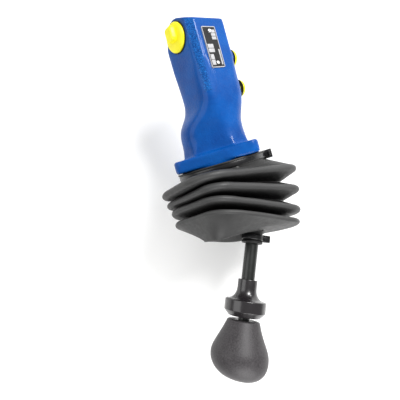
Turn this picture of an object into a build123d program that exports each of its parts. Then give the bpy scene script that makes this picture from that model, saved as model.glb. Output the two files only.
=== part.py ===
from build123d import *
import math
import os

# Lever-operated pilot valve with two pressure-reducing cartridges, in millimetres.
# The origin is the centre of the mounting flange's underside. +Z points at the lever,
# -Y at the nameplate, and the lever tilts in the XZ plane.

os.makedirs("parts", exist_ok=True)

# Clearances
seat_gap = 0.05
running_gap = 0.05
soft_gap = 0.3

# Cast housing: port block
body_depth = 88.5
block_width = 36.0
block_depth = 36.0
block_chamfer = 4.7
block_shift = 11.0
block_length = 54.0
nose_radius = 12.5
nose_back_height = 17.0

# Cast housing: neck between the block and the flange
waist_width = 42.0
waist_chamfer = 10.0
waist_shift = 6.5
waist_rise = 7.5
shoulder_width = 52.0
shoulder_flat = 13.0
shoulder_shift = -0.5
shoulder_rise = 17.0
neck_top_width = 55.0
neck_top_flat = 14.0

# Mounting flange and the collar that carries the boot
flange_diagonal = 87.0
flange_corner_radius = 5.0
flange_thickness = 9.0
flange_edge_radius = 1.0
block_edge_radius = 1.2
mount_circle = 72.0
mount_hole_radius = 2.1
mount_hole_depth = 7.5
mount_hole_count = 4
collar_radius = 30.5
collar_wall = 4.0
collar_height = 12.5

# Cartridges
cartridge_offset = 8.5
bush_radius = 6.9
bush_length = 18.0
plunger_radius = 3.95
chamber_radius = 6.0
chamber_floor = 35.0
spool_radius = 3.45
spool_bore_depth = 71.0
oring_section = 1.05
oring_depth = 9.0
wiper_height = 2.5
wiper_radius = 5.6
stop_collar_radius = 5.2
stop_collar_height = 1.8
stop_collar_depth = 12.2
seat_radius = 5.5
seat_thickness = 1.5
seat_spigot_radius = 1.8
seat_spigot_length = 3.0
return_wire_radius = 0.55
return_coil_radius = 4.85
return_turns = 5
control_wire_radius = 0.45
control_coil_radius = 2.45
control_turns = 4
spool_head_radius = 3.2
spool_head_top = 27.0
spool_head_height = 2.5
spool_stem_radius = 2.3
spool_length = 34.0
spool_groove_radius = 2.5
spool_groove_length = 5.0
spool_groove_depths = (42.0, 55.0)

# Plate that holds the bushes down
plate_length = 45.0
plate_width = 17.0
plate_thickness = 2.0
plate_screw_offset = 18.0
plate_screw_radius = 2.0
plate_screw_depth = 10.0
screw_head_radius = 3.5
screw_head_height = 2.2
screw_socket = 2.5

# Pivot
pivot_height = 20.0
pin_radius = 4.0
pin_length = 41.0
ear_inner = 13.0
ear_thickness = 5.0
ear_radius = 7.0
clip_thickness = 1.0
clip_height = 1.4
hub_radius = 6.0
hub_gap = 0.5
pivot_bush_wall = 1.0
pivot_bush_length = 9.0
lobe_radius = 3.0
lobe_drop = 3.0
lobe_gap = 0.1
rocker_width = 11.0
lever_boss_radius = 7.0
lever_boss_length = 15.0

# Lever: an inner run from the pivot to the bend, then the outer run to the knob
inner_lean = -16.2
inner_length = 51.4
outer_lean = 30.0
bend_radius = 12.0
rod_radius = 4.4
rod_start = 8.0
rod_end = 89.0
nut_height = 5.0
nut_across_flats = 15.0

# Lift ring with its sleeve and spring, placed along the outer run from the bend
sleeve_radius = 5.3
sleeve_start = 5.4
ring_start = 41.0
ring_neck_radius = 7.7
ring_neck_length = 7.0
ring_disc_start = 57.5
ring_disc_radius = 16.2
ring_disc_height = 7.8
ring_bevel_height = 4.0
ring_bevel_radius = 12.5
ring_cavity_radius = 7.0
ring_cavity_start = 55.0
ring_washer_start = 66.0
ring_washer_radius = 6.6
ring_washer_thickness = 1.0
ring_clip_thickness = 1.0
ring_clip_radius = 5.6
lock_wire_radius = 0.5
lock_coil_radius = 5.7
lock_turns = 4

# Knob
knob_start = 72.0
knob_neck_radius = 12.7
knob_belly_radius = 22.4
knob_shoulder_radius = 18.4
knob_shoulder_height = 14.2
knob_belly_height = 25.5
knob_base_radius = 17.3
knob_base_height = 37.8
knob_length = 44.0
insert_radius = 7.0
insert_length = 18.0

# Nameplate and port plugs
plate_x = 3.1
nameplate_width = 12.1
nameplate_height = 28.0
nameplate_thickness = 0.8
nameplate_end_gap = 6.5
rivet_radius = 1.3
rivet_head_height = 0.7
rivet_inset = 3.2
side_port_inset = 5.7
side_port_shift = 1.0
side_port_radius = 6.0
side_port_depth = 9.0
side_face_radius = 10.6
side_face_depth = 0.8
gallery_radius = 2.5
side_cap_radius = 9.9
side_cap_thickness = 2.2
seal_thickness = 0.8
seal_wall = 3.0
plug_depth = 5.0
tab_width = 8.5
tab_reach = 4.5
tab_thickness = 2.0
front_port_radius = 4.4
front_port_depth = 8.0
front_port_shift = 8.0
front_port_rises = (25.0, 47.7)
front_boss_radius = 7.0
front_boss_height = 1.0
front_seal_radius = 6.8
front_cap_radius = 6.2
front_cap_thickness = 2.8

# Boot: each fold is a rounded rectangle on its own tilted plane
boot_wall = 2.5
boot_lip_height = 2.2
boot_lip_width = 1.6
boot_neck_height = 13.0
ridge_widths = (110.0, 107.0, 101.0, 97.0)
ridge_depth = 68.0
ridge_shifts = (-4.5, -4.0, -3.0, -1.5)
ridge_corner = 17.0
fold_inset = 13.0
valley_corner_loss = 4.0
ridge_heights = (28.0, 39.8, 52.0, 63.0)
ridge_tilts = (3.8, 11.0, 17.0, 18.5)
boot_collar_start = 7.0
boot_collar_end = 12.5
boot_collar_wall = 1.5
cone_base_radius = 9.0
tie_width = 4.0
tie_thickness = 1.4
tie_head_length = 7.0
tie_head_width = 5.5
tie_head_height = 4.5
neck_tie_height = 15.0
neck_tie_head_angle = 215.0
collar_tie_head_angle = 200.0


def axial(lean, distance=0.0, start=(0.0, 0.0)):
    """Plane square to a line that leaves start in the XZ plane at the given lean from +Z."""
    slope = math.radians(lean)
    x = start[0] + distance * math.sin(slope)
    z = start[1] + distance * math.cos(slope)
    across = (math.cos(slope), 0, -math.sin(slope))
    return Plane(origin=(x, 0, z), x_dir=across, z_dir=(math.sin(slope), 0, math.cos(slope)))


def finish(part, name):
    """Label a finished piece and write it as the node of that name."""
    part.label = name
    export_step(part, f"parts/{name}.step")


# The lever's bend, from the pivot and the inner run
inner_slope = math.radians(inner_lean)
bend_x = inner_length * math.sin(inner_slope)
bend_z = pivot_height + inner_length * math.cos(inner_slope)
bend_point = (bend_x, bend_z)
pivot_point = (0.0, pivot_height)

# Levels that several pieces share
block_top = block_length - body_depth
block_back = block_depth / 2 - block_shift
block_front = -block_depth / 2 - block_shift
side_port_z = side_port_inset - body_depth
side_port_y = -block_shift - side_port_shift
plate_top = flange_thickness + plate_thickness
collar_top = flange_thickness + collar_height
sides = (("left", -cartridge_offset), ("right", cartridge_offset))
front_planes = []
for rise in front_port_rises:
    mouth = (-block_width / 2 - front_boss_height, -block_shift - front_port_shift, rise - body_depth)
    front_planes.append(Plane(origin=mouth, x_dir=(0, -1, 0), z_dir=(-1, 0, 0)))

# ---------------------------------------------------------------- housing
with BuildPart() as housing:
    with BuildSketch(Plane.XY.offset(-body_depth)) as block_outline:
        with Locations((0, -block_shift)):
            Rectangle(block_width, block_depth)
        chamfer(block_outline.vertices(), block_chamfer)
    extrude(amount=block_length)
    extrude(block_outline.sketch, amount=-nose_radius)
    with BuildSketch(Plane.YZ) as nose_outline:
        with BuildLine():
            nose_back = (block_back, nose_back_height - body_depth)
            nose_front = (block_front, -body_depth)
            crest = PolarLine((side_port_y, side_port_z), nose_radius, 250, mode=Mode.PRIVATE) @ 1
            rear = PolarLine((side_port_y, side_port_z), nose_radius, 330, mode=Mode.PRIVATE) @ 1
            Polyline(crest, nose_front, (block_front, block_top), (block_back, block_top), nose_back, rear)
            RadiusArc(rear, crest, nose_radius)
        make_face()
    extrude(amount=block_width, both=True, mode=Mode.INTERSECT)
    cast_edges = housing.edges() - housing.faces().sort_by(Axis.Z)[-1].edges()
    fillet(cast_edges, block_edge_radius)

    # Neck: from the chamfered block through the waist to broad diagonal faces
    with BuildSketch(Plane.XY.offset(block_top)) as neck_base:
        with Locations((0, -block_shift)):
            Rectangle(block_width, block_depth)
        chamfer(neck_base.vertices(), block_chamfer)
    with BuildSketch(Plane.XY.offset(block_top + waist_rise)) as neck_waist:
        with Locations((0, -waist_shift)):
            Rectangle(waist_width, waist_width)
        chamfer(neck_waist.vertices(), waist_chamfer)
    with BuildSketch(Plane.XY.offset(block_top + shoulder_rise)) as neck_shoulder:
        with Locations((0, shoulder_shift)):
            Rectangle(shoulder_width, shoulder_width)
        chamfer(neck_shoulder.vertices(), (shoulder_width - shoulder_flat) / 2)
    loft()
    with BuildSketch(Plane.XY) as neck_top:
        Rectangle(neck_top_width, neck_top_width)
        chamfer(neck_top.vertices(), (neck_top_width - neck_top_flat) / 2)
    loft([neck_shoulder.sketch, neck_top.sketch])

    # Flange, turned so that its corners carry the mounting holes
    with BuildSketch() as flange_outline:
        flange_side = flange_diagonal / math.sqrt(2)
        RectangleRounded(flange_side, flange_side, flange_corner_radius, rotation=45)
    extrude(amount=flange_thickness)
    fillet(housing.faces().sort_by(Axis.Z)[-1].edges(), flange_edge_radius)
    underside = housing.faces().filter_by(Plane.XY).sort_by(Axis.Z)[-2]
    fillet(underside.outer_wire().edges(), flange_edge_radius)
    with BuildSketch(Plane.XY.offset(flange_thickness)) as collar_outline:
        Circle(collar_radius)
        Circle(collar_radius - collar_wall, mode=Mode.SUBTRACT)
    extrude(amount=collar_height)

    # Ears that hold the pivot pin
    for turn in (0, 180):
        ear_plane = Plane.XZ.offset(ear_inner) if turn == 0 else Plane.XZ.offset(-ear_inner)
        with BuildSketch(ear_plane) as ear_outline:
            with Locations((0, pivot_height)):
                Circle(ear_radius)
            with Locations((0, (flange_thickness + pivot_height) / 2)):
                Rectangle(2 * ear_radius, pivot_height - flange_thickness)
        extrude(amount=ear_thickness if turn == 0 else -ear_thickness)
    with BuildSketch(Plane.XZ) as pin_bore:
        with Locations((0, pivot_height)):
            Circle(pin_radius)
    extrude(amount=collar_radius, both=True, mode=Mode.SUBTRACT)

    # Cartridge bores
    with Locations((-cartridge_offset, 0, flange_thickness), (cartridge_offset, 0, flange_thickness)):
        Hole(bush_radius + seat_gap, depth=bush_length)
        Hole(chamber_radius, depth=flange_thickness + chamber_floor)
        Hole(spool_radius + running_gap, depth=flange_thickness + spool_bore_depth)
    with Locations((-plate_screw_offset, 0, flange_thickness), (plate_screw_offset, 0, flange_thickness)):
        Hole(plate_screw_radius, depth=plate_screw_depth)

    # Mounting holes, tapped from below
    with BuildSketch() as mount_holes:
        with PolarLocations(mount_circle / 2, mount_hole_count):
            Circle(mount_hole_radius)
    extrude(amount=mount_hole_depth, mode=Mode.SUBTRACT)

    # Side port with its spot face and a blind gallery
    side_plane = Plane(
        origin=(block_width / 2, side_port_y, side_port_z), x_dir=(0, 1, 0), z_dir=(1, 0, 0)
    )
    with Locations(side_plane):
        CounterBoreHole(side_port_radius, side_face_radius, side_face_depth, depth=side_port_depth)
        Hole(gallery_radius, depth=block_width / 2 + cartridge_offset)

    # Two ports with bosses on the other side
    with BuildSketch(*front_planes) as bosses:
        Circle(front_boss_radius)
    extrude(amount=-front_boss_height)
    with BuildSketch(*front_planes) as front_ports:
        Circle(front_port_radius)
    extrude(amount=-front_port_depth, mode=Mode.SUBTRACT)
finish(housing.part, "housing")

# ---------------------------------------------------------------- nameplate and rivets
nameplate_z = -body_depth + nameplate_end_gap + nameplate_height / 2
front_plane = Plane(origin=(plate_x, block_front, nameplate_z), x_dir=(1, 0, 0), z_dir=(0, -1, 0))
rivet_pitch = nameplate_height / 2 - rivet_inset
with BuildPart() as nameplate:
    with BuildSketch(front_plane):
        RectangleRounded(nameplate_width, nameplate_height, 0.8)
        with Locations((0, -rivet_pitch), (0, rivet_pitch)):
            Circle(rivet_radius / 2, mode=Mode.SUBTRACT)
    extrude(amount=nameplate_thickness)
finish(nameplate.part, "nameplate")

with BuildPart() as nameplate_rivets:
    with BuildSketch(front_plane):
        with Locations((0, -rivet_pitch), (0, rivet_pitch)):
            Circle(rivet_radius / 2)
    extrude(amount=nameplate_thickness)
    with BuildSketch(front_plane.offset(nameplate_thickness)):
        with Locations((0, -rivet_pitch), (0, rivet_pitch)):
            Circle(rivet_radius)
    extrude(amount=rivet_head_height)
    rim = nameplate_rivets.faces().sort_by(Axis.Y)[:2].edges()
    fillet(rim, rivet_head_height / 2)
finish(nameplate_rivets.part, "nameplate_rivets")

# ---------------------------------------------------------------- port seals and plugs
with BuildPart() as port_seals:
    with BuildSketch(side_plane.offset(-side_face_depth)):
        Circle(side_face_radius - seat_gap)
        Circle(side_face_radius - seat_gap - seal_wall, mode=Mode.SUBTRACT)
    extrude(amount=seal_thickness)
    with BuildSketch(*front_planes):
        Circle(front_seal_radius)
        Circle(front_port_radius, mode=Mode.SUBTRACT)
    extrude(amount=seal_thickness)
finish(port_seals.part, "port_seals")

with BuildPart() as port_plug_side:
    seat_plane = side_plane.offset(seal_thickness - side_face_depth)
    with BuildSketch(seat_plane):
        Circle(side_cap_radius)
    extrude(amount=side_cap_thickness)
    fillet(port_plug_side.faces().sort_by(Axis.X)[-1].edges(), 0.8)
    with BuildSketch(seat_plane):
        Circle(side_port_radius - seat_gap)
    extrude(amount=-plug_depth - seal_thickness, taper=2)
    tab_plane = seat_plane.offset(side_cap_thickness - tab_thickness)
    with BuildSketch(tab_plane.offset(tab_thickness / 2)):
        with Locations((side_cap_radius / 2, 0)):
            RectangleRounded(tab_width, tab_width, 2)
    extrude(amount=tab_reach)
finish(port_plug_side.part, "port_plug_side")

for place, mouth_plane in zip(("lower", "upper"), front_planes):
    plug_plane = mouth_plane.offset(seal_thickness)
    with BuildPart() as port_plug:
        with BuildSketch(plug_plane):
            Circle(front_cap_radius)
        extrude(amount=front_cap_thickness)
        fillet(port_plug.faces().sort_by(Axis.X)[0].edges(), 0.8)
        with BuildSketch(plug_plane):
            Circle(front_port_radius - seat_gap)
        extrude(amount=-plug_depth - seal_thickness, taper=2)
    finish(port_plug.part, f"port_plug_{place}")

# ---------------------------------------------------------------- cartridges
plunger_top = pivot_height - lobe_drop - lobe_radius - lobe_gap
bush_floor = flange_thickness - bush_length
for side, offset in sides:
    with BuildPart() as guide_bush:
        with BuildSketch(Plane.XY.offset(bush_floor)):
            with Locations((offset, 0)):
                Circle(bush_radius)
                Circle(plunger_radius + running_gap, mode=Mode.SUBTRACT)
        extrude(amount=bush_length)
        with BuildSketch(Plane.XY.offset(flange_thickness)):
            with Locations((offset, 0)):
                Circle(wiper_radius)
        extrude(amount=-wiper_height, mode=Mode.SUBTRACT)
        with BuildSketch(Plane.XY.offset(flange_thickness - oring_depth)):
            with Locations((offset, 0)):
                Circle(bush_radius)
                Circle(bush_radius - oring_section, mode=Mode.SUBTRACT)
        extrude(amount=1.4 * oring_section, mode=Mode.SUBTRACT)
    finish(guide_bush.part, f"guide_bush_{side}")

    with BuildPart() as plunger:
        with BuildSketch(Plane.XY.offset(-stop_collar_depth)):
            with Locations((offset, 0)):
                Circle(plunger_radius)
        extrude(amount=plunger_top + stop_collar_depth)
        chamfer(plunger.faces().sort_by(Axis.Z)[-1].edges(), 0.8)
        with BuildSketch(Plane.XY.offset(-stop_collar_depth)):
            with Locations((offset, 0)):
                Circle(stop_collar_radius)
        extrude(amount=-stop_collar_height)
    finish(plunger.part, f"plunger_{side}")

    seat_top = -stop_collar_depth - stop_collar_height
    with BuildPart() as spring_seat:
        with BuildSketch(Plane.XY.offset(seat_top)):
            with Locations((offset, 0)):
                Circle(seat_radius)
        extrude(amount=-seat_thickness)
        with BuildSketch(Plane.XY.offset(seat_top - seat_thickness)):
            with Locations((offset, 0)):
                Circle(seat_spigot_radius)
        extrude(amount=-seat_spigot_length)
    finish(spring_seat.part, f"spring_seat_{side}")

    spring_top = seat_top - seat_thickness
    springs = (
        ("return_spring", return_coil_radius, return_wire_radius, return_turns, -chamber_floor),
        ("control_spring", control_coil_radius, control_wire_radius, control_turns, -spool_head_top),
    )
    for kind, coil, wire, turns, floor in springs:
        height = spring_top - floor - 2 * wire
        with BuildPart() as spring:
            with BuildLine():
                Helix(height / turns, height, coil, center=(offset, 0, floor + wire))
            with BuildSketch(Plane.XZ):
                with Locations((offset + coil, floor + wire)):
                    RegularPolygon(wire, 6)
            sweep(is_frenet=True)
        finish(spring.part, f"{kind}_{side}")

    with BuildPart() as spool:
        with BuildSketch(Plane.XY.offset(-spool_head_top)):
            with Locations((offset, 0)):
                Circle(spool_head_radius)
        extrude(amount=-spool_head_height)
        with BuildSketch(Plane.XY.offset(-spool_head_top - spool_head_height)):
            with Locations((offset, 0)):
                Circle(spool_stem_radius)
        extrude(amount=-(chamber_floor - spool_head_top - spool_head_height))
        with BuildSketch(Plane.XY.offset(-chamber_floor)):
            with Locations((offset, 0)):
                Circle(spool_radius)
        extrude(amount=-spool_length)
        for depth in spool_groove_depths:
            with BuildSketch(Plane.XY.offset(-depth)):
                with Locations((offset, 0)):
                    Circle(spool_radius + seat_gap)
                    Circle(spool_groove_radius, mode=Mode.SUBTRACT)
            extrude(amount=-spool_groove_length, mode=Mode.SUBTRACT)
    finish(spool.part, f"spool_{side}")

oring_z = flange_thickness - oring_depth + 0.7 * oring_section
oring_radius = bush_radius + seat_gap - oring_section / 2
with BuildPart() as bush_o_rings:
    for side, offset in sides:
        with BuildSketch(Plane.XZ):
            with Locations((offset + oring_radius, oring_z)):
                Circle(oring_section / 2 - seat_gap)
        revolve(axis=Axis((offset, 0, 0), (0, 0, 1)))
finish(bush_o_rings.part, "bush_o_rings")

with BuildPart() as plunger_wipers:
    with BuildSketch(Plane.XY.offset(flange_thickness - wiper_height)):
        with Locations((-cartridge_offset, 0), (cartridge_offset, 0)):
            Circle(wiper_radius - seat_gap)
            Circle(plunger_radius + running_gap, mode=Mode.SUBTRACT)
    extrude(amount=wiper_height)
finish(plunger_wipers.part, "plunger_wipers")

# ---------------------------------------------------------------- retaining plate
with BuildPart() as retaining_plate:
    with BuildSketch(Plane.XY.offset(flange_thickness)):
        RectangleRounded(plate_length, plate_width, plate_width / 2 - 1)
        with Locations((-cartridge_offset, 0), (cartridge_offset, 0)):
            Circle(plunger_radius + soft_gap, mode=Mode.SUBTRACT)
        with Locations((-plate_screw_offset, 0), (plate_screw_offset, 0)):
            Circle(plate_screw_radius + seat_gap, mode=Mode.SUBTRACT)
    extrude(amount=plate_thickness)
finish(retaining_plate.part, "retaining_plate")

with BuildPart() as retaining_screws:
    with BuildSketch(Plane.XY.offset(plate_top)):
        with Locations((-plate_screw_offset, 0), (plate_screw_offset, 0)):
            Circle(screw_head_radius)
            RegularPolygon(screw_socket / 2, 6, major_radius=False, mode=Mode.SUBTRACT)
    extrude(amount=screw_head_height)
    with BuildSketch(Plane.XY.offset(plate_top)):
        with Locations((-plate_screw_offset, 0), (plate_screw_offset, 0)):
            Circle(plate_screw_radius - seat_gap)
    extrude(amount=-plate_thickness - plate_screw_depth + 1)
finish(retaining_screws.part, "retaining_screws")

# ---------------------------------------------------------------- pivot
pin_plane = Plane(origin=(0, 0, pivot_height), x_dir=(1, 0, 0), z_dir=(0, -1, 0))
clip_centre = ear_inner + ear_thickness + soft_gap + clip_thickness / 2
with BuildPart() as pivot_pin:
    with BuildSketch(pin_plane):
        Circle(pin_radius - running_gap)
    extrude(amount=pin_length / 2, both=True)
    chamfer(pivot_pin.edges().filter_by(GeomType.CIRCLE), 0.5)
    with BuildSketch(pin_plane.offset(clip_centre), pin_plane.offset(-clip_centre)):
        Circle(pin_radius)
        Circle(pin_radius - clip_height / 2, mode=Mode.SUBTRACT)
    extrude(amount=clip_thickness / 2 + seat_gap, both=True, mode=Mode.SUBTRACT)
finish(pivot_pin.part, "pivot_pin")

with BuildPart() as pin_circlips:
    with BuildSketch(pin_plane.offset(clip_centre), pin_plane.offset(-clip_centre)):
        Circle(pin_radius + clip_height)
        Circle(pin_radius - clip_height / 2 + seat_gap, mode=Mode.SUBTRACT)
        with Locations((0, -pin_radius)):
            Rectangle(pin_radius, 2 * pin_radius, mode=Mode.SUBTRACT)
    extrude(amount=clip_thickness / 2, both=True)
finish(pin_circlips.part, "pin_circlips")

hub_half = ear_inner - hub_gap
bush_outer = pin_radius + pivot_bush_wall
with BuildPart() as rocker:
    with BuildSketch(pin_plane):
        Circle(hub_radius)
    extrude(amount=hub_half, both=True)
    with BuildSketch(pin_plane):
        with BuildLine():
            Polyline(
                (-cartridge_offset - lobe_radius, -lobe_drop),
                (-cartridge_offset, 0),
                (0, hub_radius),
                (cartridge_offset, 0),
                (cartridge_offset + lobe_radius, -lobe_drop),
                close=True,
            )
        make_face()
        with Locations((-cartridge_offset, -lobe_drop), (cartridge_offset, -lobe_drop)):
            Circle(lobe_radius)
    extrude(amount=rocker_width / 2, both=True)
    with BuildSketch(axial(inner_lean, 0, pivot_point)):
        Circle(lever_boss_radius)
    extrude(amount=lever_boss_length)
    with BuildSketch(axial(inner_lean, rod_start, pivot_point)):
        Circle(rod_radius + seat_gap)
    extrude(amount=lever_boss_length, mode=Mode.SUBTRACT)
    with BuildSketch(pin_plane):
        Circle(bush_outer)
    extrude(amount=hub_half, both=True, mode=Mode.SUBTRACT)
finish(rocker.part, "rocker")

with BuildPart() as rocker_bushes:
    inner_end = hub_half - pivot_bush_length
    with BuildSketch(pin_plane.offset(inner_end), pin_plane.offset(-hub_half)):
        Circle(bush_outer)
        Circle(pin_radius, mode=Mode.SUBTRACT)
    extrude(amount=pivot_bush_length)
finish(rocker_bushes.part, "rocker_bushes")

# ---------------------------------------------------------------- lever
rod_bottom = axial(inner_lean, rod_start, pivot_point)
rod_top = axial(outer_lean, rod_end, bend_point)
with BuildPart() as lever_rod:
    with BuildLine() as rod_path:
        FilletPolyline(
            rod_bottom.origin,
            Vector(bend_x, 0, bend_z),
            rod_top.origin,
            radius=bend_radius,
        )
    with BuildSketch(rod_bottom):
        Circle(rod_radius)
    sweep()
finish(lever_rod.part, "lever_rod")

with BuildPart() as lever_lock_nut:
    with BuildSketch(axial(inner_lean, lever_boss_length, pivot_point)):
        RegularPolygon(nut_across_flats / 2, 6, major_radius=False)
        Circle(rod_radius + seat_gap, mode=Mode.SUBTRACT)
    extrude(amount=nut_height)
finish(lever_lock_nut.part, "lever_lock_nut")

with BuildPart() as lift_sleeve:
    with BuildSketch(axial(outer_lean, sleeve_start, bend_point)):
        Circle(sleeve_radius)
        Circle(rod_radius + running_gap, mode=Mode.SUBTRACT)
    extrude(amount=ring_cavity_start - sleeve_start - soft_gap)
finish(lift_sleeve.part, "lift_sleeve")


def turned(points_plane):
    """Axis of the lever's outer run, for turned pieces drawn on the plane given."""
    return Axis(points_plane.origin, points_plane.y_dir)


# Turned pieces are drawn with X as the radius and Y along the outer run
outer_slope = math.radians(outer_lean)
turn_plane = Plane(
    origin=(bend_x, 0, bend_z),
    x_dir=(math.cos(outer_slope), 0, -math.sin(outer_slope)),
    z_dir=(0, -1, 0),
)
ring_end = ring_disc_start + ring_disc_height + ring_bevel_height
with BuildPart() as lift_ring:
    with BuildSketch(turn_plane):
        with BuildLine():
            neck_end = ring_start + ring_neck_length
            Line((sleeve_radius + seat_gap, ring_start), (ring_neck_radius, ring_start))
            Line((ring_neck_radius, ring_start), (ring_neck_radius, neck_end))
            Spline(
                (ring_neck_radius, neck_end),
                (ring_disc_radius - 1, ring_disc_start - 0.6),
                tangents=((0, 1), (1, 0.25)),
            )
            Line((ring_disc_radius - 1, ring_disc_start - 0.6), (ring_disc_radius, ring_disc_start))
            Polyline(
                (ring_disc_radius, ring_disc_start),
                (ring_disc_radius, ring_disc_start + ring_disc_height),
                (ring_bevel_radius, ring_end),
                (ring_cavity_radius, ring_end),
                (ring_cavity_radius, ring_cavity_start),
                (sleeve_radius + seat_gap, ring_cavity_start),
                (sleeve_radius + seat_gap, ring_start),
            )
        make_face()
    revolve(axis=turned(turn_plane))
finish(lift_ring.part, "lift_ring")

with BuildPart() as ring_washer:
    with BuildSketch(axial(outer_lean, ring_washer_start, bend_point)):
        Circle(ring_washer_radius)
        Circle(rod_radius + seat_gap, mode=Mode.SUBTRACT)
    extrude(amount=ring_washer_thickness)
finish(ring_washer.part, "ring_washer")

with BuildPart() as ring_circlip:
    with BuildSketch(axial(outer_lean, ring_washer_start + ring_washer_thickness, bend_point)):
        Circle(ring_clip_radius)
        Circle(rod_radius + seat_gap, mode=Mode.SUBTRACT)
    extrude(amount=ring_clip_thickness)
finish(ring_circlip.part, "ring_circlip")

lock_height = ring_washer_start - ring_cavity_start - 2 * lock_wire_radius
with BuildPart() as lock_spring:
    coil_plane = axial(outer_lean, ring_cavity_start + lock_wire_radius, bend_point)
    with BuildLine():
        Helix(
            lock_height / lock_turns,
            lock_height,
            lock_coil_radius,
            center=coil_plane.origin,
            direction=coil_plane.z_dir,
        )
    with BuildSketch(turn_plane):
        with Locations((lock_coil_radius, ring_cavity_start + lock_wire_radius)):
            RegularPolygon(lock_wire_radius, 6)
    sweep(is_frenet=True)
finish(lock_spring.part, "lock_spring")

with BuildPart() as knob:
    with BuildSketch(turn_plane):
        with BuildLine():
            knob_top = knob_start + 1.2
            knob_belly = knob_start + knob_belly_height
            knob_end = knob_start + knob_length
            Line((0, knob_start), (knob_neck_radius - 1.2, knob_start))
            Line((knob_neck_radius - 1.2, knob_start), (knob_neck_radius, knob_top))
            Spline(
                (knob_neck_radius, knob_top),
                (knob_shoulder_radius, knob_start + knob_shoulder_height),
                (knob_belly_radius, knob_belly),
                (knob_base_radius, knob_start + knob_base_height),
                (0, knob_end),
                tangents=((0.28, 1), (-1, 0)),
            )
            Line((0, knob_end), (0, knob_start))
        make_face()
    revolve(axis=turned(turn_plane))
    with BuildSketch(axial(outer_lean, knob_start, bend_point)):
        Circle(insert_radius + seat_gap)
    extrude(amount=insert_length, mode=Mode.SUBTRACT)
    with BuildSketch(axial(outer_lean, knob_start, bend_point)):
        Circle(rod_radius + seat_gap)
    extrude(amount=rod_end - knob_start + 1, mode=Mode.SUBTRACT)
finish(knob.part, "knob")

with BuildPart() as knob_insert:
    with BuildSketch(axial(outer_lean, knob_start, bend_point)):
        Circle(insert_radius)
        Circle(rod_radius + seat_gap, mode=Mode.SUBTRACT)
    extrude(amount=insert_length)
finish(knob_insert.part, "knob_insert")

# ---------------------------------------------------------------- boot
neck_inner = collar_radius + soft_gap
neck_outer = neck_inner + boot_wall
neck_end = flange_thickness + boot_neck_height


def boot_sections(wall):
    """Outline planes, half sizes and corner radii of the boot's surface, a wall in from the outside."""
    neck_half = neck_outer - wall
    sections = [(axial(0, neck_end), neck_half, neck_half, neck_half - 0.5)]
    folds = list(zip(ridge_heights, ridge_tilts, ridge_widths, ridge_shifts))
    for index, fold in enumerate(folds):
        height, tilt, width, shift = fold
        ridge = axial(tilt, 0, (shift, height))
        sections.append((ridge, width / 2 - wall, ridge_depth / 2 - wall, ridge_corner - wall))
        if index + 1 < len(folds):
            height, tilt, width, shift = [(a + b) / 2 for a, b in zip(fold, folds[index + 1])]
            valley = axial(tilt, 0, (shift, height))
            half_x = width / 2 - fold_inset - wall
            half_y = ridge_depth / 2 - fold_inset - wall
            sections.append((valley, half_x, half_y, ridge_corner - valley_corner_loss - wall))
    foot = axial(outer_lean, boot_collar_start - wall, bend_point)
    foot_half = cone_base_radius - wall
    sections.append((foot, foot_half, foot_half, foot_half - 0.5))
    return sections


with BuildPart() as boot:
    for plane, half_x, half_y, corner in boot_sections(0.0):
        with BuildSketch(plane):
            RectangleRounded(2 * half_x, 2 * half_y, corner)
    loft(ruled=True)
    with BuildSketch(Plane.XY.offset(flange_thickness + soft_gap)):
        Circle(neck_outer)
    extrude(amount=boot_neck_height - soft_gap)
    with BuildSketch(Plane.XY.offset(flange_thickness + soft_gap)):
        Circle(neck_outer + boot_lip_width)
    extrude(amount=boot_lip_height)
    with BuildSketch(axial(outer_lean, boot_collar_start, bend_point)):
        Circle(sleeve_radius + soft_gap + boot_collar_wall)
    extrude(amount=boot_collar_end - boot_collar_start)
    for plane, half_x, half_y, corner in boot_sections(boot_wall):
        with BuildSketch(plane):
            RectangleRounded(2 * half_x, 2 * half_y, corner)
    loft(ruled=True, mode=Mode.SUBTRACT)
    with BuildSketch(Plane.XY.offset(flange_thickness)):
        Circle(neck_inner)
    extrude(amount=boot_neck_height + 1, mode=Mode.SUBTRACT)
    with BuildSketch(axial(outer_lean, boot_collar_start - 4, bend_point)):
        Circle(sleeve_radius + soft_gap)
    extrude(amount=boot_collar_end, mode=Mode.SUBTRACT)
finish(boot.part, "boot")

with BuildPart() as boot_neck_tie:
    tie_inner = neck_outer + seat_gap
    with BuildSketch(Plane.XY.offset(neck_tie_height)):
        Circle(tie_inner + tie_thickness)
        Circle(tie_inner, mode=Mode.SUBTRACT)
    extrude(amount=tie_width / 2, both=True)
    with BuildSketch(Plane.XY.offset(neck_tie_height)):
        with PolarLocations(tie_inner + tie_head_height / 2, 1, neck_tie_head_angle):
            Rectangle(tie_head_height, tie_head_length)
        Circle(tie_inner, mode=Mode.SUBTRACT)
    extrude(amount=tie_head_width / 2, both=True)
finish(boot_neck_tie.part, "boot_neck_tie")

with BuildPart() as boot_collar_tie:
    grip = sleeve_radius + soft_gap + boot_collar_wall + seat_gap
    tie_plane = axial(outer_lean, (boot_collar_start + boot_collar_end) / 2 + 0.5, bend_point)
    with BuildSketch(tie_plane):
        Circle(grip + tie_thickness)
        Circle(grip, mode=Mode.SUBTRACT)
    extrude(amount=tie_width / 2, both=True)
    with BuildSketch(tie_plane):
        with PolarLocations(grip + tie_head_height / 2, 1, collar_tie_head_angle):
            Rectangle(tie_head_height, tie_head_length)
        Circle(grip, mode=Mode.SUBTRACT)
    extrude(amount=tie_width / 2, both=True)
finish(boot_collar_tie.part, "boot_collar_tie")
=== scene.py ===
import math
from collections import namedtuple

import bmesh
import bpy
import numpy as np
from mathutils import Matrix, Vector, noise
from mathutils.bvhtree import BVHTree


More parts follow.
